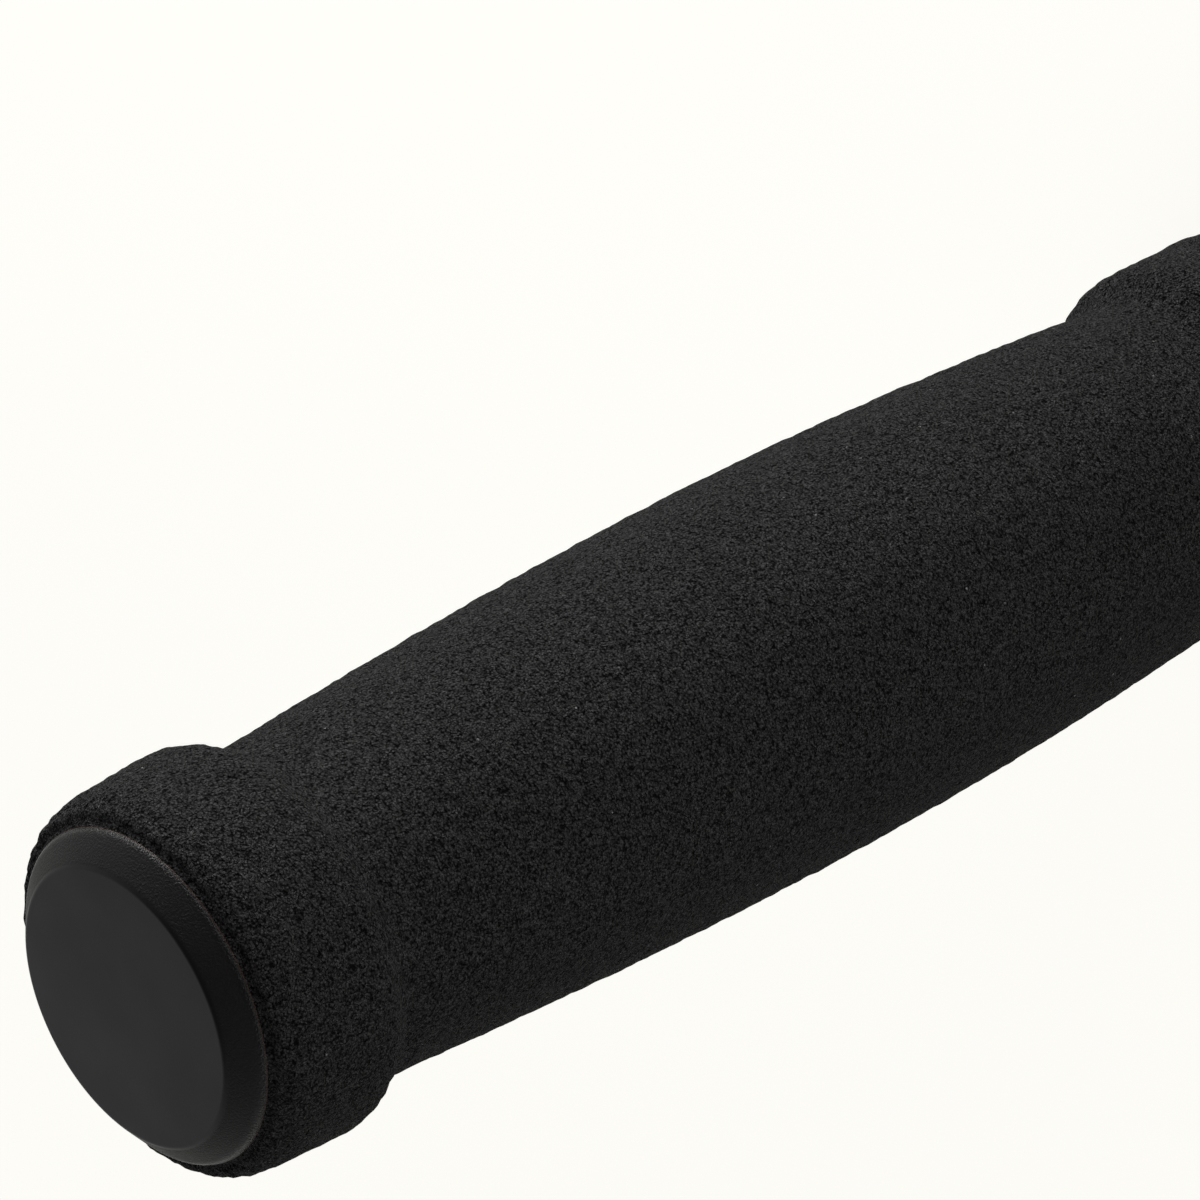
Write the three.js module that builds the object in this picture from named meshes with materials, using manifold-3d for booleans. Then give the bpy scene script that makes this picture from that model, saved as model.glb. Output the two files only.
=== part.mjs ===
// Foam handlebar grip with its push-in end plug, standing on the open inboard end.
// Units are millimetres. +Z runs along the handlebar from the inboard end to the plug,
// and the origin is the centre of the inboard end face.
import * as THREE from 'three';
import { mergeVertices } from 'three/addons/utils/BufferGeometryUtils.js';
import Module from 'manifold-3d';

// Driving dimensions of the foam sleeve
const GRIP_LENGTH = 130;
const BAR_DIAMETER = 22.2;
const BORE_SQUEEZE = 1.2;
const WAIST_WALL = 3.9;
const COLLAR_STEP = 2.05;
const BARREL_CROWN = 2.05;
const CROWN_OFFSET = 2.6;
const SHOULDER_WIDTH = 3.8;
const END_FACE_INSET = 1.95;
const MOUTH_BEVEL = 0.5;

// The two ends differ: the outer collar narrows towards the plug, and the inboard one is straighter.
const OUTER_COLLAR_WIDTH = 10.2;
const OUTER_COLLAR_TAPER = 0.4;
const OUTER_CORNER_WIDTH = 2.4;
const OUTER_WAIST_WIDTH = 3.4;
const OUTER_BARREL_FULLNESS = 0.6;
const INBOARD_COLLAR_WIDTH = 11.1;
const INBOARD_COLLAR_TAPER = 0.1;
const INBOARD_CORNER_WIDTH = 1.9;
const INBOARD_WAIST_WIDTH = 0.2;
const INBOARD_BARREL_FULLNESS = 0.52;

// Driving dimensions of the end plug
const FLANGE_MARGIN = 0.4;
const RIM_LAND = 0.28;
const CHAMFER_WIDTH = 2.4;
const CHAMFER_HEIGHT = 2.02;
const FACE_WALL = 2;
const STEM_CLEARANCE = 2.9;
const STEM_LENGTH = 18;
const STEM_WALL = 1.7;
const FIN_COUNT = 3;
const FIN_PITCH = 4.4;
const FIN_REACH = 1.6;
const FIN_RAMP = 1.5;
const FIN_EDGE = 0.4;
const TIP_TAPER = 0.6;
const SLOT_PAIRS = 2;
const SLOT_WIDTH = 1.6;
const SLOT_START = 3.2;

// Facets round the axis
const TURNS = 72;

// Radii and heights that follow from the driving dimensions
const BORE_RADIUS = (BAR_DIAMETER - BORE_SQUEEZE) / 2;
const WAIST_RADIUS = BORE_RADIUS + WAIST_WALL;
const COLLAR_RADIUS = WAIST_RADIUS + COLLAR_STEP;
const BARREL_RADIUS = WAIST_RADIUS + BARREL_CROWN;
const CROWN_HEIGHT = GRIP_LENGTH / 2 - CROWN_OFFSET;
const END_FACE_RADIUS = COLLAR_RADIUS - END_FACE_INSET;
const FLANGE_RADIUS = END_FACE_RADIUS - FLANGE_MARGIN;
const FLANGE_HEIGHT = RIM_LAND + CHAMFER_HEIGHT;
const STEM_RADIUS = BORE_RADIUS - STEM_CLEARANCE;

const at = (radius, height) => new THREE.Vector2(radius, height);
const bend = (start, pull, end, steps) => new THREE.QuadraticBezierCurve(start, pull, end).getPoints(steps);

// Turns an outline of (radius, height) points into a solid of revolution about +Z.
function turned(outline) {
  const geometry = new THREE.LatheGeometry(outline, TURNS);
  geometry.rotateX(Math.PI / 2);
  return geometry;
}

const outerEnd = {
  collarWidth: OUTER_COLLAR_WIDTH,
  collarTaper: OUTER_COLLAR_TAPER,
  cornerWidth: OUTER_CORNER_WIDTH,
  waistWidth: OUTER_WAIST_WIDTH,
  barrelFullness: OUTER_BARREL_FULLNESS,
};

const inboardEnd = {
  collarWidth: INBOARD_COLLAR_WIDTH,
  collarTaper: INBOARD_COLLAR_TAPER,
  cornerWidth: INBOARD_CORNER_WIDTH,
  waistWidth: INBOARD_WAIST_WIDTH,
  barrelFullness: INBOARD_BARREL_FULLNESS,
};

// The sleeve's outside from one end face, at height 0, to the widest place of the barrel.
function outsideFrom(end, length) {
  const cornerRadius = COLLAR_RADIUS - end.collarTaper;
  const cornerReach = cornerRadius - END_FACE_RADIUS;
  const shoulderFoot = end.collarWidth + SHOULDER_WIDTH;
  const waistEnd = shoulderFoot + end.waistWidth;
  const shoulderMiddle = at(COLLAR_RADIUS - COLLAR_STEP * 0.41, end.collarWidth + SHOULDER_WIDTH * 0.5);
  const corner = bend(
    at(END_FACE_RADIUS, 0),
    at(cornerRadius - cornerReach / 5, end.cornerWidth / 4),
    at(cornerRadius, end.cornerWidth),
    4,
  );
  const collar = bend(
    at(cornerRadius, end.cornerWidth),
    at(COLLAR_RADIUS, end.collarWidth * 0.6),
    at(COLLAR_RADIUS, end.collarWidth),
    3,
  );
  const crest = bend(
    at(COLLAR_RADIUS, end.collarWidth),
    at(COLLAR_RADIUS, end.collarWidth + SHOULDER_WIDTH * 0.31),
    shoulderMiddle,
    4,
  );
  const fillet = bend(
    shoulderMiddle,
    at(WAIST_RADIUS + COLLAR_STEP * 0.17, end.collarWidth + SHOULDER_WIDTH * 0.69),
    at(WAIST_RADIUS, shoulderFoot),
    4,
  );
  const barrel = bend(
    at(WAIST_RADIUS, waistEnd),
    at(BARREL_RADIUS, waistEnd + (length - waistEnd) * end.barrelFullness),
    at(BARREL_RADIUS, length),
    9,
  );
  return [...corner, ...collar.slice(1), ...crest.slice(1), ...fillet.slice(1), ...barrel];
}

// The sleeve is one foam moulding: a collar, a shoulder and a waist at each end, and a crowned barrel.
function foamSleeve() {
  const lowerPart = outsideFrom(inboardEnd, CROWN_HEIGHT);
  const upperPart = outsideFrom(outerEnd, GRIP_LENGTH - CROWN_HEIGHT)
    .slice(0, -1)
    .reverse()
    .map((p) => at(p.x, GRIP_LENGTH - p.y));
  const bore = [
    at(BORE_RADIUS + MOUTH_BEVEL, GRIP_LENGTH),
    at(BORE_RADIUS, GRIP_LENGTH - MOUTH_BEVEL),
    at(BORE_RADIUS, MOUTH_BEVEL),
    at(BORE_RADIUS + MOUTH_BEVEL, 0),
  ];
  const geometry = turned([...lowerPart, ...upperPart, ...bore, lowerPart[0]]);
  const foam = new THREE.MeshStandardMaterial({ color: 0x1b1b1b, roughness: 0.95, metalness: 0 });
  return new THREE.Mesh(geometry, foam);
}

// The plug's outline, with heights from the back of the flange: up the hollow's wall from the
// inside, round the tip, up the stem over its fins, and across the flange and its chamfer.
function plugOutline() {
  const hollowRadius = STEM_RADIUS - STEM_WALL;
  const hollowTop = FLANGE_HEIGHT - FACE_WALL;
  const outline = [
    at(0, hollowTop),
    at(hollowRadius, hollowTop),
    at(hollowRadius, -STEM_LENGTH),
    at(STEM_RADIUS - TIP_TAPER, -STEM_LENGTH),
    at(STEM_RADIUS, TIP_TAPER * 2 - STEM_LENGTH),
  ];
  for (let fin = FIN_COUNT; fin > 0; fin -= 1) {
    const top = -fin * FIN_PITCH;
    outline.push(
      at(STEM_RADIUS, top - FIN_EDGE - FIN_RAMP),
      at(STEM_RADIUS + FIN_REACH, top - FIN_EDGE),
      at(STEM_RADIUS + FIN_REACH, top),
      at(STEM_RADIUS, top),
    );
  }
  outline.push(
    at(STEM_RADIUS, 0),
    at(FLANGE_RADIUS, 0),
    at(FLANGE_RADIUS, RIM_LAND),
    at(FLANGE_RADIUS - CHAMFER_WIDTH, FLANGE_HEIGHT),
    at(0, FLANGE_HEIGHT),
  );
  return outline;
}

// A round-ended tongue right across the stem, which cuts two opposite slots from its open end.
function slotTongue() {
  const half = SLOT_WIDTH / 2;
  const reach = STEM_RADIUS + FIN_REACH + 1;
  const shape = new THREE.Shape();
  shape.moveTo(-half, -STEM_LENGTH - 1);
  shape.lineTo(half, -STEM_LENGTH - 1);
  shape.lineTo(half, -SLOT_START - half);
  shape.absarc(0, -SLOT_START - half, half, 0, Math.PI, false);
  shape.closePath();
  const geometry = new THREE.ExtrudeGeometry(shape, { depth: reach * 2, bevelEnabled: false, curveSegments: 6 });
  geometry.translate(0, 0, -reach);
  geometry.rotateX(Math.PI / 2);
  return geometry;
}

const wasm = await Module();
wasm.setup();

function toSolid(geometry) {
  const bare = geometry.clone();
  bare.deleteAttribute('normal');
  bare.deleteAttribute('uv');
  const merged = mergeVertices(bare, 1e-4);
  const mesh = new wasm.Mesh({
    numProp: 3,
    vertProperties: new Float32Array(merged.attributes.position.array),
    triVerts: new Uint32Array(merged.index.array),
  });
  return new wasm.Manifold(mesh);
}

function toGeometry(solid) {
  const mesh = solid.getMesh();
  const geometry = new THREE.BufferGeometry();
  geometry.setAttribute('position', new THREE.BufferAttribute(mesh.vertProperties, 3));
  geometry.setIndex(new THREE.BufferAttribute(mesh.triVerts, 1));
  geometry.computeVertexNormals();
  return geometry;
}

// The plug is one moulding: its slots leave springy legs that carry the fins.
function endPlug() {
  let solid = toSolid(turned(plugOutline()));
  for (let pair = 0; pair < SLOT_PAIRS; pair += 1) {
    const tongue = slotTongue();
    tongue.rotateZ((Math.PI * pair) / SLOT_PAIRS);
    solid = solid.subtract(toSolid(tongue));
  }
  const plastic = new THREE.MeshStandardMaterial({ color: 0x262626, roughness: 0.55, metalness: 0 });
  const mesh = new THREE.Mesh(toGeometry(solid), plastic);
  mesh.position.z = GRIP_LENGTH;
  return mesh;
}

const grip = new THREE.Group();

const sleeve = foamSleeve();
sleeve.name = 'foam_sleeve';
grip.add(sleeve);

const plug = endPlug();
plug.name = 'end_plug';
grip.add(plug);

export default grip;
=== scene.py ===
"""A black foam handlebar grip with its plastic end plug, standing on the open inboard end.

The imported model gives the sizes. This script makes the fine surfaces, the materials, the
camera and the light. Lengths are in metres.
"""
import math

import bpy
import numpy as np
from mathutils import Matrix, Vector, noise


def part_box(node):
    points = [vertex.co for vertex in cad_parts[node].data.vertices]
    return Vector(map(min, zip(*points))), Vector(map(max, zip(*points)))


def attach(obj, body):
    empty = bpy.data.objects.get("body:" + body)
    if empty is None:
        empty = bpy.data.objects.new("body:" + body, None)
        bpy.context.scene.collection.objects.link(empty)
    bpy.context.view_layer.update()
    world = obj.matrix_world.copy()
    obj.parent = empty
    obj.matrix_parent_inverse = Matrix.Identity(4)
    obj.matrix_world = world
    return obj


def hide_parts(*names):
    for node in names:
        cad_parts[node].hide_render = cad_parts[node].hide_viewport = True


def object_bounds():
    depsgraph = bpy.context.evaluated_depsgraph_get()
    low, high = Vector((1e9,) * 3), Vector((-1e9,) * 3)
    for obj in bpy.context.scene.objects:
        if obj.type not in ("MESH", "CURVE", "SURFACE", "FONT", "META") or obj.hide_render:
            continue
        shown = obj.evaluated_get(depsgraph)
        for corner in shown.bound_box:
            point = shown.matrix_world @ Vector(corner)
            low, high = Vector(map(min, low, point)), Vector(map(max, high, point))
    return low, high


MM = 0.001

# Camera: a long lens that looks down on the plug, rolled so that the bar's axis runs
# from the lower left to the upper right.
SENSOR = 36.0
LENS = 210.0
CAMERA_PLACE = Vector((0.01138, -0.46131, 0.40589))
CAMERA_TILT = math.radians(54.35)
CAMERA_ROLL = math.radians(243.13)

# Sleeve mesh: facets round the axis, and the distance between rings
SLEEVE_TURNS = 264
RING_STEP = 0.40 * MM
BORE_STEP = 5.0 * MM

# Foam skin: wavelength and height of each layer of lumps, and the pits between them.
# A pit's width is a share of the pitch.
LUMPS = ((3.4 * MM, 0.035 * MM), (1.6 * MM, 0.045 * MM), (0.95 * MM, 0.10 * MM))
PIT_PITCH = 1.3 * MM
PIT_WIDTH = 0.45
PIT_DEPTH = 0.09 * MM

# Foam skin: the band over which it calms down towards a smooth face, how far that reaches
# under the plug's flange, and the heights of the bends where it wrinkles
CALM_BAND = 1.2 * MM
CALM_OVERLAP = 0.24 * MM
BENDS = (13.0 * MM, 117.9 * MM, 129.0 * MM)
BEND_WIDTH = 2.2 * MM

# The shallow groove in the foam's end face, measured outward from the plug's flange
GROOVE_START = 0.05 * MM
GROOVE_MIDDLE = 0.40 * MM
GROOVE_REACH = 0.56 * MM
GROOVE_DEPTH = 0.4 * MM

# End plug: the sizes that its CAD node has behind its flange and across its face
PLUG_TURNS = 240
CHAMFER_WIDTH = 2.4 * MM
RIM_LAND = 0.28 * MM
FACE_WALL = 2.0 * MM
STEM_RADIUS = 7.6 * MM
STEM_WALL = 1.7 * MM
FIN_COUNT = 3
FIN_PITCH = 4.4 * MM
FIN_REACH = 1.6 * MM
FIN_RAMP = 1.5 * MM
FIN_EDGE = 0.4 * MM
TIP_TAPER = 0.6 * MM
SLOT_PAIRS = 2
SLOT_WIDTH = 1.6 * MM
SLOT_START = 3.2 * MM
CUTTER_SPARE = 1.0 * MM

# End plug: the rounds of its edges. The rim curves from the chamfer down to RIM_FOOT above
# the foam, where it is as steep as RIM_TILT.
DISC_ROUND = 0.60 * MM
FIN_ROUND = 0.12 * MM
RIM_FOOT = 0.05 * MM
RIM_REACH = 0.32 * MM
RIM_TILT = math.radians(76)
RIM_STEPS = 10
SHARP_ANGLE = math.radians(35)

# Foam's finish: texture scales in cells per metre, depths of relief, and greys
CRUMB_SCALE = 2450.0
CRUMB_SHARE = 1.8
CRUMB_DEPTH = 0.50 * MM
GAP_SCALE = 4550.0
CLUMP_SCALE = 1100.0
CLUMP_DEPTH = 1.0 * MM
# The gap grey is painted shade in the hollows between the crumbs, together with the foam's own darker tone
# there.
GAP_SHADE_GREY = (0.002, 0.002, 0.002, 1)
CRUMB_GREY = (0.096, 0.096, 0.096, 1)
SPECK_SCALE = 820.0
SPECK_RARITY = 0.88
SPECK_SIZE = 0.085
SPECK_GREY = (0.25, 0.25, 0.245, 1)

# Plug's finish: heights over which one finish fades into the next, above the foam's end
# face, or below the disc's
FOOT_FADE = (0.06 * MM, 0.13 * MM)
RIM_FADE = (0.30 * MM, 0.60 * MM)
CHAMFER_FADE = (0.40 * MM, 0.85 * MM)
DISC_FADE = (0.35 * MM, 0.08 * MM)
GRAIN_SCALE = 5600.0
GRAIN_DEPTH = 0.10 * MM
GRAIN_ON_DISC = 0.05
SATIN_SCALE = 160.0
SATIN_ROUGHNESS = (0.38, 0.43)
CHAMFER_DULLER = 0.21
RIM_SHINIER = 0.16
PLASTIC_BLACK = (0.008, 0.008, 0.008, 1)
FOOT_BROWN = (0.022, 0.008, 0.005, 1)

# Light: three low soft boxes (place, size, power), and a tent that is brighter behind the grip.
# The tent's edges are values of a ray's direction: Y from front to back, Z at its foot and top.
SOFT_BOXES = {
    "key": (Vector((0.50, 0.0, 0.08)), (0.20, 0.16), 2.10),
    "fill": (Vector((0.25, -0.433, 0.08)), (0.30, 0.16), 0.75),
    "kicker": (Vector((-0.433, -0.25, 0.08)), (0.30, 0.16), 0.34),
}
BACK_LIGHT = 0.88
FRONT_LIGHT = 0.28
FRONT_TO_BACK = (-0.2, 0.6)
TENT_FOOT = (0.05, 0.35)
TENT_TOP = (0.65, 0.95)

# Background: paper white at the horizon and on the floor, which near the grip shows a share of
# the real light on it. FLOOR_LIT is how bright that light makes it away from the shadow.
PAPER = (0.991, 0.982, 0.939, 1.0)
HORIZON_EDGE = (0.09, 0.12)
FLOOR_HALF = 2.0
FLOOR_COLOUR = (0.80, 0.80, 0.78, 1)
FLOOR_SHADE = 0.35
FLOOR_LIT = 0.386
SHADE_FADE = (0.15, 0.35)

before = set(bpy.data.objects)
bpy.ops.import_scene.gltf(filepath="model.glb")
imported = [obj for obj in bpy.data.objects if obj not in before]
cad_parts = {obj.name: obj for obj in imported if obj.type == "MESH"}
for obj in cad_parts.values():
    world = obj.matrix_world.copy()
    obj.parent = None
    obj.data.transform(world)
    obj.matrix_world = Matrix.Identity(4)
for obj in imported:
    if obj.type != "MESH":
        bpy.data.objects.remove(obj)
cad_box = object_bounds()


def rings_of(node):
    """The distinct (radius, height) rings of a turned CAD node, in order of radius, then height."""
    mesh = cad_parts[node].data
    co = np.zeros(len(mesh.vertices) * 3)
    mesh.vertices.foreach_get("co", co)
    co = co.reshape(-1, 3)
    rings = np.stack([np.hypot(co[:, 0], co[:, 1]), co[:, 2]], axis=1)
    return np.unique(np.round(rings, 5), axis=0)


def even_path(points, step):
    """Points at even steps along a line of straight pieces."""
    along = np.concatenate([[0], np.cumsum(np.linalg.norm(np.diff(points, axis=0), axis=1))])
    even = np.linspace(0, along[-1], max(2, round(along[-1] / step)) + 1)
    return np.stack([np.interp(even, along, points[:, i]) for i in (0, 1)], axis=1)


def smooth_path(points, step, fineness=24):
    """Points at even steps along a smooth curve through the given ones."""
    gap = np.linalg.norm(np.diff(points, axis=0), axis=1)[:, None]
    slope = np.diff(points, axis=0) / gap
    inner = (slope[:-1] * gap[1:] + slope[1:] * gap[:-1]) / (gap[:-1] + gap[1:])
    tangent = np.vstack([slope[:1], inner, slope[-1:]])
    t = np.linspace(0, 1, fineness, endpoint=False)[None, :, None]
    a, b, h = points[:-1, None], points[1:, None], gap[:, None]
    u, v = tangent[:-1, None], tangent[1:, None]
    dense = ((2 * t**3 - 3 * t**2 + 1) * a + (t**3 - 2 * t**2 + t) * h * u
             + (3 * t**2 - 2 * t**3) * b + (t**3 - t**2) * h * v)
    return even_path(np.vstack([dense.reshape(-1, 2), points[-1:]]), step)


def new_object(name, verts, faces):
    """A smooth-shaded mesh object."""
    mesh = bpy.data.meshes.new(name)
    mesh.from_pydata(verts, [], faces)
    mesh.polygons.foreach_set("use_smooth", [True] * len(mesh.polygons))
    obj = bpy.data.objects.new(name, mesh)
    bpy.context.scene.collection.objects.link(obj)
    return obj


def sleeve_path():
    """The closed outline of the sleeve: lower face, outside, upper face, and back down the bore."""
    rings = rings_of("foam_sleeve")
    bore = rings[:, 0].min()
    top = rings[:, 1].max()
    mouth = rings[rings[:, 1] < 0.01 * MM][:, 0].min()
    bevel = mouth - bore
    shell = rings[rings[:, 0] > mouth + bevel]
    shell = shell[np.argsort(shell[:, 1])]
    outside = smooth_path(shell, RING_STEP)
    lower_face = even_path(np.array([[mouth, 0.0], outside[0]]), RING_STEP)
    upper_face = even_path(np.array([outside[-1], [mouth, top]]), RING_STEP)
    inside = even_path(np.array([[bore, top - bevel], [bore, bevel]]), BORE_STEP)
    path = np.vstack([lower_face[:-1], outside, upper_face[1:], inside])
    if len(path) % 2:
        path = np.vstack([path, [[(bore + mouth) / 2, bevel / 2]]])
    return path


def foam_sleeve():
    """The sleeve as a fine mesh.

    Each ring is turned half a facet from the last, so all faces are even triangles.
    """
    path = sleeve_path()
    count = len(path)
    stagger = 0.5 * (np.arange(count)[:, None] % 2)
    turn = (np.arange(SLEEVE_TURNS)[None, :] + stagger) * 2 * math.pi / SLEEVE_TURNS
    height = np.repeat(path[:, 1:], SLEEVE_TURNS, axis=1)
    verts = np.stack([path[:, :1] * np.cos(turn), path[:, :1] * np.sin(turn), height], axis=2)
    faces = []
    for i in range(count):
        low, high = i * SLEEVE_TURNS, (i + 1) % count * SLEEVE_TURNS
        for k in range(SLEEVE_TURNS):
            n = (k + 1) % SLEEVE_TURNS
            if i % 2 == 0:
                faces += [(low + k, low + n, high + k), (low + n, high + n, high + k)]
            else:
                faces += [(low + k, low + n, high + n), (low + k, high + n, high + k)]
    sleeve = new_object("sleeve", verts.reshape(-1, 3).tolist(), faces)
    roughen(sleeve, path[:, 0].min())
    return sleeve


def lift_at(place):
    """How far the foam's skin stands above its mean surface at a place."""
    lift = sum(height * noise.noise(place / size) for size, height in LUMPS)
    nearest = noise.voronoi(place / PIT_PITCH)[0][0]
    return lift - PIT_DEPTH * max(0.0, 1 - nearest / PIT_WIDTH)


def roughen(sleeve, bore):
    """Raises lumps and sinks pits in the skin, more so at the bends, and sinks the groove beside the plug.

    The face it stands on, the bore and the face under the plug stay calm.
    """
    mesh = sleeve.data
    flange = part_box("end_plug")[1].x
    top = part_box("foam_sleeve")[1].z
    co = np.zeros(len(mesh.vertices) * 3)
    normal = np.zeros(len(mesh.vertices) * 3)
    mesh.vertices.foreach_get("co", co)
    mesh.vertices.foreach_get("normal", normal)
    co = co.reshape(-1, 3)
    normal = normal.reshape(-1, 3)
    radius = np.hypot(co[:, 0], co[:, 1])
    calm = np.clip(co[:, 2] / CALM_BAND, 0, 1)
    near_plug = np.clip((radius - flange + CALM_OVERLAP) / CALM_BAND, 0, 1)
    calm = np.where(co[:, 2] > top - CALM_BAND, near_plug, calm)
    calm = np.where(radius < bore + CALM_BAND, 0.0, calm)
    beside_plug = (co[:, 2] > top - CALM_BAND) & (radius > flange + GROOVE_START)
    groove = np.clip(1 - np.abs(radius - flange - GROOVE_MIDDLE) / GROOVE_REACH, 0, 1)
    co[:, 2] -= np.where(beside_plug, GROOVE_DEPTH * groove, 0)
    wrinkled = 1 + sum(np.exp(-((co[:, 2] - bend) / BEND_WIDTH) ** 2) for bend in BENDS)
    lift = np.array([lift_at(Vector(p)) for p in co])
    co += normal * (lift * calm * wrinkled)[:, None]
    mesh.vertices.foreach_set("co", co.ravel())
    mesh.update()


def rounded(points, radii, steps=5):
    """A line of straight pieces with a round of the given radius at each inner corner."""
    line = [Vector(points[0])]
    for before, corner, after, radius in zip(points, points[1:], points[2:], radii):
        before, corner, after = Vector(before), Vector(corner), Vector(after)
        inward, onward = before - corner, after - corner
        if radius <= 0:
            line.append(corner)
            continue
        reach = radius / math.tan(inward.angle(onward) / 2)
        start = corner + inward.normalized() * min(reach, inward.length / 2.01)
        end = corner + onward.normalized() * min(reach, onward.length / 2.01)
        for i in range(steps + 1):
            t = i / steps
            line.append(start * (1 - t) ** 2 + corner * 2 * t * (1 - t) + end * t * t)
    line.append(Vector(points[-1]))
    return [tuple(p) for p in line]


def turned(name, outline, turns):
    """A closed solid of revolution from (radius, height) points that start and end on the axis."""
    rows = outline[1:-1]
    verts = [(0.0, 0.0, outline[0][1])]
    for radius, height in rows:
        verts += [(radius * math.cos(t), radius * math.sin(t), height)
                  for t in (2 * math.pi * k / turns for k in range(turns))]
    verts.append((0.0, 0.0, outline[-1][1]))
    last = len(verts) - 1
    faces = []
    for k in range(turns):
        n = (k + 1) % turns
        faces.append((0, 1 + n, 1 + k))
        faces.append((last, last - turns + k, last - turns + n))
        for i in range(len(rows) - 1):
            low, high = 1 + i * turns, 1 + (i + 1) * turns
            faces.append((low + k, low + n, high + n, high + k))
    return new_object(name, verts, faces)


def rim_curve(seat, high):
    """The chamfer's outer edge, from its steep foot up to where the chamfer is straight."""
    slope = math.atan2(high.z - seat - RIM_LAND, CHAMFER_WIDTH)
    radius = high.x - RIM_REACH
    height = seat + RIM_LAND + RIM_REACH * math.tan(slope)
    drop = height - seat - RIM_FOOT
    length = drop / math.sin((slope + RIM_TILT) / 2)
    points = [(radius, height)]
    for i in range(RIM_STEPS):
        angle = slope + (RIM_TILT - slope) * (i + 0.5) / RIM_STEPS
        radius += math.cos(angle) * length / RIM_STEPS
        height -= math.sin(angle) * length / RIM_STEPS
        points.append((min(radius, high.x), height))
    return points[::-1]


def plug_outline():
    """The plug's outline with rounded edges.

    It runs down the hollow, round the tip, up the stem over its fins and across the flange.
    """
    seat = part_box("foam_sleeve")[1].z
    low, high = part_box("end_plug")
    hollow = STEM_RADIUS - STEM_WALL
    points = [(0, high.z - FACE_WALL), (hollow, high.z - FACE_WALL), (hollow, low.z),
              (STEM_RADIUS - TIP_TAPER, low.z), (STEM_RADIUS, low.z + 2 * TIP_TAPER)]
    radii = [FIN_ROUND] * 4
    for fin in range(FIN_COUNT, 0, -1):
        top = seat - fin * FIN_PITCH
        points += [(STEM_RADIUS, top - FIN_EDGE - FIN_RAMP), (STEM_RADIUS + FIN_REACH, top - FIN_EDGE),
                   (STEM_RADIUS + FIN_REACH, top), (STEM_RADIUS, top)]
        radii += [FIN_ROUND] * 4
    points += [(STEM_RADIUS, seat), (high.x, seat)]
    radii += [FIN_ROUND, 0]
    rim = rim_curve(seat, high)
    points += rim + [(high.x - CHAMFER_WIDTH, high.z), (0, high.z)]
    radii += [0] * len(rim) + [DISC_ROUND]
    return rounded(points, radii)


def slot_tongue(turn):
    """A bar with a rounded upper edge, right across the stem, that cuts two opposite slots."""
    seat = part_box("foam_sleeve")[1].z
    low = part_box("end_plug")[0].z - CUTTER_SPARE
    half = SLOT_WIDTH / 2
    reach = STEM_RADIUS + FIN_REACH + CUTTER_SPARE
    arch = seat - SLOT_START - half
    outline = [(-half, low), (half, low)]
    outline += [(half * math.cos(a), arch + half * math.sin(a)) for a in np.linspace(0, math.pi, 13)]
    verts = [(x, -reach, z) for x, z in outline] + [(x, reach, z) for x, z in outline]
    count = len(outline)
    faces = [tuple(range(count)), tuple(range(2 * count - 1, count - 1, -1))]
    for i in range(count):
        j = (i + 1) % count
        faces.append((j, i, count + i, count + j))
    tongue = new_object("tongue", verts, faces)
    tongue.data.transform(Matrix.Rotation(turn, 4, "Z"))
    return tongue


def end_plug():
    """The moulded plug: its turned form less the slots that free the legs of its stem."""
    plug = turned("plug", plug_outline(), PLUG_TURNS)
    tongues = [slot_tongue(math.pi * pair / SLOT_PAIRS) for pair in range(SLOT_PAIRS)]
    for tongue in tongues:
        cut = plug.modifiers.new("slot", "BOOLEAN")
        cut.operation = "DIFFERENCE"
        cut.solver = "EXACT"
        cut.object = tongue
    depsgraph = bpy.context.evaluated_depsgraph_get()
    mesh = bpy.data.meshes.new_from_object(plug.evaluated_get(depsgraph))
    plug.modifiers.clear()
    plug.data = mesh
    for tongue in tongues:
        bpy.data.objects.remove(tongue)
    mesh.set_sharp_from_angle(angle=SHARP_ANGLE)
    return plug


class Nodes:
    """A short way to build a node tree. An input takes a plain value or another node's output."""

    def __init__(self, owner):
        owner.use_nodes = True
        self.tree = owner.node_tree
        self.tree.nodes.clear()

    def feed(self, socket, value):
        """Links an output to an input, or sets the input's value."""
        if isinstance(value, bpy.types.NodeSocket):
            self.tree.links.new(value, socket)
        else:
            socket.default_value = value

    def add(self, kind, inputs=None, **settings):
        """A new node with its settings and inputs."""
        node = self.tree.nodes.new(kind)
        for key, value in settings.items():
            setattr(node, key, value)
        for key, value in (inputs or {}).items():
            self.feed(node.inputs[key], value)
        return node

    def math(self, operation, *values):
        """The result of one step of arithmetic."""
        return self.add("ShaderNodeMath", dict(enumerate(values)), operation=operation).outputs[0]

    def ramp(self, value, low, high, to_low, to_high):
        """A value that eases from to_low to to_high while the given one goes from low to high."""
        node = self.add("ShaderNodeMapRange", {
            "Value": value, "From Min": low, "From Max": high, "To Min": to_low, "To Max": to_high},
            interpolation_type="SMOOTHSTEP")
        return node.outputs["Result"]

    def colour(self, value, low, high):
        """A blend of two colours. Sockets 6 and 7 of a mix node, and its output 2, are colours."""
        node = self.add("ShaderNodeMix", {"Factor": value, 6: low, 7: high}, data_type="RGBA")
        return node.outputs[2]


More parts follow.
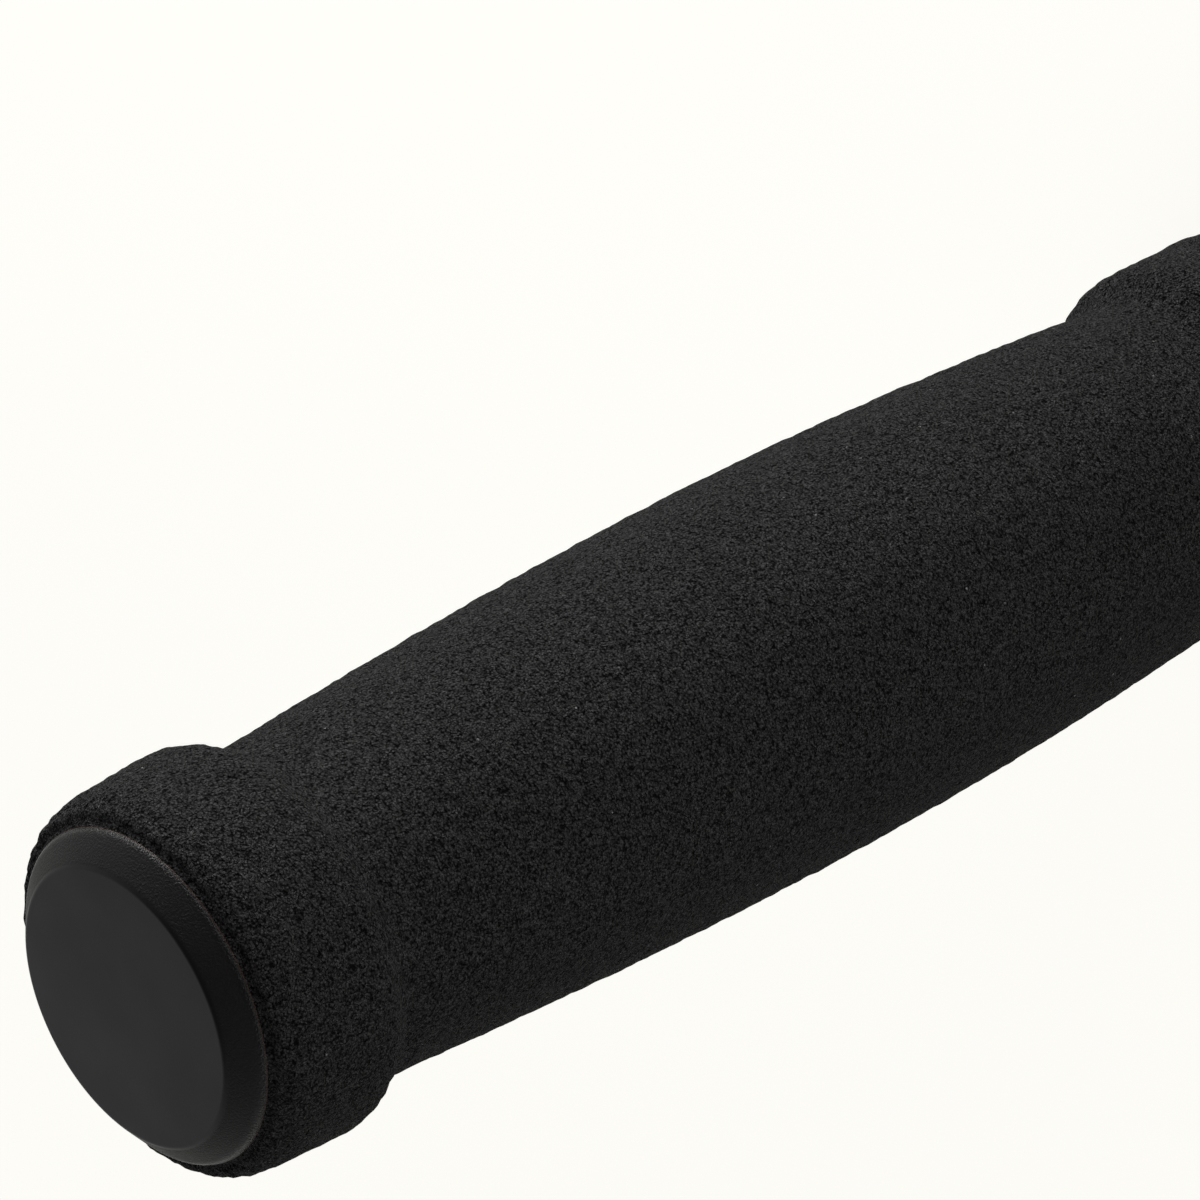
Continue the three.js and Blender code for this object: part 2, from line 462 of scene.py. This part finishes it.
def foam_material():
    """Ground black foam: crumbs a quarter of a millimetre wide, with painted shade in the gaps between them
    as well as the foam's own darker tone there, and a few pale specks.
    """
    material = bpy.data.materials.new("black_foam")
    nodes = Nodes(material)
    place = nodes.add("ShaderNodeTexCoord").outputs["Object"]
    worms = nodes.add("ShaderNodeTexNoise", {
        "Vector": place, "Scale": CRUMB_SCALE, "Detail": 3.0, "Roughness": 0.7, "Distortion": 0.4})
    gaps = nodes.add("ShaderNodeTexVoronoi", {"Vector": place, "Scale": GAP_SCALE})
    raised = nodes.math("MULTIPLY", worms.outputs["Fac"], CRUMB_SHARE)
    crumbs = nodes.math("SUBTRACT", raised, gaps.outputs["Distance"])
    # The grey follows the crumbs' height, from the gap grey in the hollows to the crumb grey on top:
    # painted shade in the gaps, over the foam's own uneven tone.
    colour = nodes.colour(crumbs, GAP_SHADE_GREY, CRUMB_GREY)
    specks = nodes.add("ShaderNodeTexVoronoi", {"Vector": place, "Scale": SPECK_SCALE})
    chance = nodes.add("ShaderNodeSeparateColor", {"Color": specks.outputs["Color"]}).outputs["Red"]
    rare = nodes.math("GREATER_THAN", chance, SPECK_RARITY)
    small = nodes.math("LESS_THAN", specks.outputs["Distance"], SPECK_SIZE)
    colour = nodes.colour(nodes.math("MULTIPLY", rare, small), colour, SPECK_GREY)
    clumps = nodes.add("ShaderNodeTexNoise", {
        "Vector": place, "Scale": CLUMP_SCALE, "Detail": 3.0, "Roughness": 0.6})
    coarse = nodes.add("ShaderNodeBump", {
        "Height": clumps.outputs["Fac"], "Distance": CLUMP_DEPTH, "Strength": 1.0})
    fine = nodes.add("ShaderNodeBump", {
        "Height": crumbs, "Distance": CRUMB_DEPTH, "Strength": 1.0, "Normal": coarse.outputs["Normal"]})
    shader = nodes.add("ShaderNodeBsdfPrincipled", {
        "Base Color": colour, "Roughness": 0.9, "Specular IOR Level": 0.06,
        "Normal": fine.outputs["Normal"]})
    nodes.add("ShaderNodeOutputMaterial", {"Surface": shader.outputs["BSDF"]})
    return material


def plug_material():
    """Black moulded plastic: a satin disc, a duller grained chamfer, and a shinier rim with a warm foot."""
    material = bpy.data.materials.new("black_plastic")
    nodes = Nodes(material)
    place = nodes.add("ShaderNodeTexCoord").outputs["Object"]
    height = nodes.add("ShaderNodeSeparateXYZ", {"Vector": place}).outputs["Z"]
    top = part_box("end_plug")[1].z
    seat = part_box("foam_sleeve")[1].z
    below_disc = nodes.ramp(height, top - DISC_FADE[0], top - DISC_FADE[1], 1.0, GRAIN_ON_DISC)
    grain = nodes.add("ShaderNodeTexNoise", {
        "Vector": place, "Scale": GRAIN_SCALE, "Detail": 2.0, "Roughness": 0.6})
    depth = nodes.math("MULTIPLY", grain.outputs["Fac"], below_disc)
    bump = nodes.add("ShaderNodeBump", {"Height": depth, "Distance": GRAIN_DEPTH, "Strength": 1.0})
    clouds = nodes.add("ShaderNodeTexNoise", {
        "Vector": place, "Scale": SATIN_SCALE, "Detail": 3.0, "Roughness": 0.5})
    satin = nodes.ramp(clouds.outputs["Fac"], 0.3, 0.7, *SATIN_ROUGHNESS)
    above_rim = nodes.ramp(height, seat + CHAMFER_FADE[0], seat + CHAMFER_FADE[1], 0.0, 1.0)
    duller = nodes.math("MULTIPLY", nodes.math("MULTIPLY", above_rim, below_disc), CHAMFER_DULLER)
    shinier = nodes.ramp(height, seat + RIM_FADE[0], seat + RIM_FADE[1], RIM_SHINIER, 0.0)
    rough = nodes.math("SUBTRACT", nodes.math("ADD", satin, duller), shinier)
    foot = nodes.ramp(height, seat + FOOT_FADE[0], seat + FOOT_FADE[1], 1.0, 0.0)
    colour = nodes.colour(foot, PLASTIC_BLACK, FOOT_BROWN)
    shader = nodes.add("ShaderNodeBsdfPrincipled", {
        "Base Color": colour, "Roughness": rough, "Specular IOR Level": 0.15,
        "Normal": bump.outputs["Normal"]})
    nodes.add("ShaderNodeOutputMaterial", {"Surface": shader.outputs["BSDF"]})
    return material


def white_for_view(nodes):
    """1 for the rays that show the background: those of the camera, of reflections and through glass."""
    ray = nodes.add("ShaderNodeLightPath").outputs
    beyond = nodes.math("MAXIMUM", ray["Is Glossy Ray"], ray["Is Transmission Ray"])
    return nodes.math("MAXIMUM", ray["Is Camera Ray"], beyond)


def paper_floor():
    """A pale floor that the camera and reflections see as white paper, and that keeps a soft shadow."""
    half = FLOOR_HALF
    corners = [(-half, -half, 0), (half, -half, 0), (half, half, 0), (-half, half, 0)]
    floor = new_object("floor", corners, [(0, 1, 2, 3)])
    material = bpy.data.materials.new("paper")
    nodes = Nodes(material)
    place = nodes.add("ShaderNodeTexCoord").outputs["Object"]
    distance = nodes.add("ShaderNodeVectorMath", {0: place}, operation="LENGTH").outputs["Value"]
    shade = nodes.ramp(distance, *SHADE_FADE, FLOOR_SHADE, 0.0)
    white = nodes.math("SUBTRACT", 1.0, shade)
    unlit = nodes.math("SUBTRACT", 1.0, nodes.math("MULTIPLY", shade, FLOOR_LIT))
    strength = nodes.math("DIVIDE", unlit, white)
    paper = nodes.add("ShaderNodeBsdfDiffuse", {"Color": FLOOR_COLOUR})
    glow = nodes.add("ShaderNodeEmission", {"Color": PAPER, "Strength": strength})
    mix = nodes.add("ShaderNodeMixShader", {
        "Fac": nodes.math("MULTIPLY", white_for_view(nodes), white),
        1: paper.outputs["BSDF"], 2: glow.outputs["Emission"]})
    nodes.add("ShaderNodeOutputMaterial", {"Surface": mix.outputs["Shader"]})
    floor.data.materials.append(material)


def room():
    """The world: a tent that is brighter behind the grip, dark overhead, and white paper at the horizon."""
    world = bpy.data.worlds.new("room")
    bpy.context.scene.world = world
    nodes = Nodes(world)
    ray = nodes.add("ShaderNodeTexCoord").outputs["Generated"]
    split = nodes.add("ShaderNodeSeparateXYZ", {"Vector": ray})
    up = split.outputs["Z"]
    foot = nodes.ramp(up, *TENT_FOOT, 0.0, 1.0)
    walls = nodes.math("MULTIPLY", foot, nodes.ramp(up, *TENT_TOP, 1.0, 0.0))
    light = nodes.ramp(split.outputs["Y"], *FRONT_TO_BACK, FRONT_LIGHT, BACK_LIGHT)
    tent = nodes.math("MULTIPLY", walls, light)
    horizon = nodes.ramp(nodes.math("ABSOLUTE", up), *HORIZON_EDGE, 1.0, 0.0)
    strength = nodes.math("ADD", tent, nodes.math("MULTIPLY", horizon, white_for_view(nodes)))
    colour = nodes.colour(horizon, (1, 1, 1, 1), PAPER)
    glow = nodes.add("ShaderNodeBackground", {"Color": colour, "Strength": strength})
    nodes.add("ShaderNodeOutputWorld", {"Surface": glow.outputs["Background"]})


def soft_box(name, place, size, power):
    """A soft rectangular lamp that faces the middle of the grip."""
    data = bpy.data.lights.new(name, "AREA")
    data.shape = "RECTANGLE"
    data.size, data.size_y = size
    data.energy = power
    lamp = bpy.data.objects.new(name, data)
    middle = Vector((0, 0, (cad_box[0].z + cad_box[1].z) / 2))
    lamp.location = place
    lamp.rotation_euler = (middle - place).to_track_quat("-Z", "Y").to_euler()
    lamp.visible_camera = False
    bpy.context.scene.collection.objects.link(lamp)


def camera():
    """The photograph's viewpoint."""
    data = bpy.data.cameras.new("camera")
    data.sensor_width = SENSOR
    data.lens = LENS
    data.clip_start = 0.05
    data.clip_end = 20
    view = bpy.data.objects.new("camera", data)
    turn = Matrix.Rotation(CAMERA_TILT, 4, "X") @ Matrix.Rotation(CAMERA_ROLL, 4, "Z")
    view.matrix_world = Matrix.Translation(CAMERA_PLACE) @ turn
    bpy.context.scene.collection.objects.link(view)
    bpy.context.scene.camera = view


camera()
room()
for name, box in SOFT_BOXES.items():
    soft_box(name, *box)
paper_floor()

sleeve = foam_sleeve()
sleeve.data.materials.append(foam_material())
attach(sleeve, "root")
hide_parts("foam_sleeve")

plug = end_plug()
plug.data.materials.clear()
plug.data.materials.append(plug_material())
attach(plug, "root")
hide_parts("end_plug")

bpy.context.scene.view_settings.view_transform = "Standard"
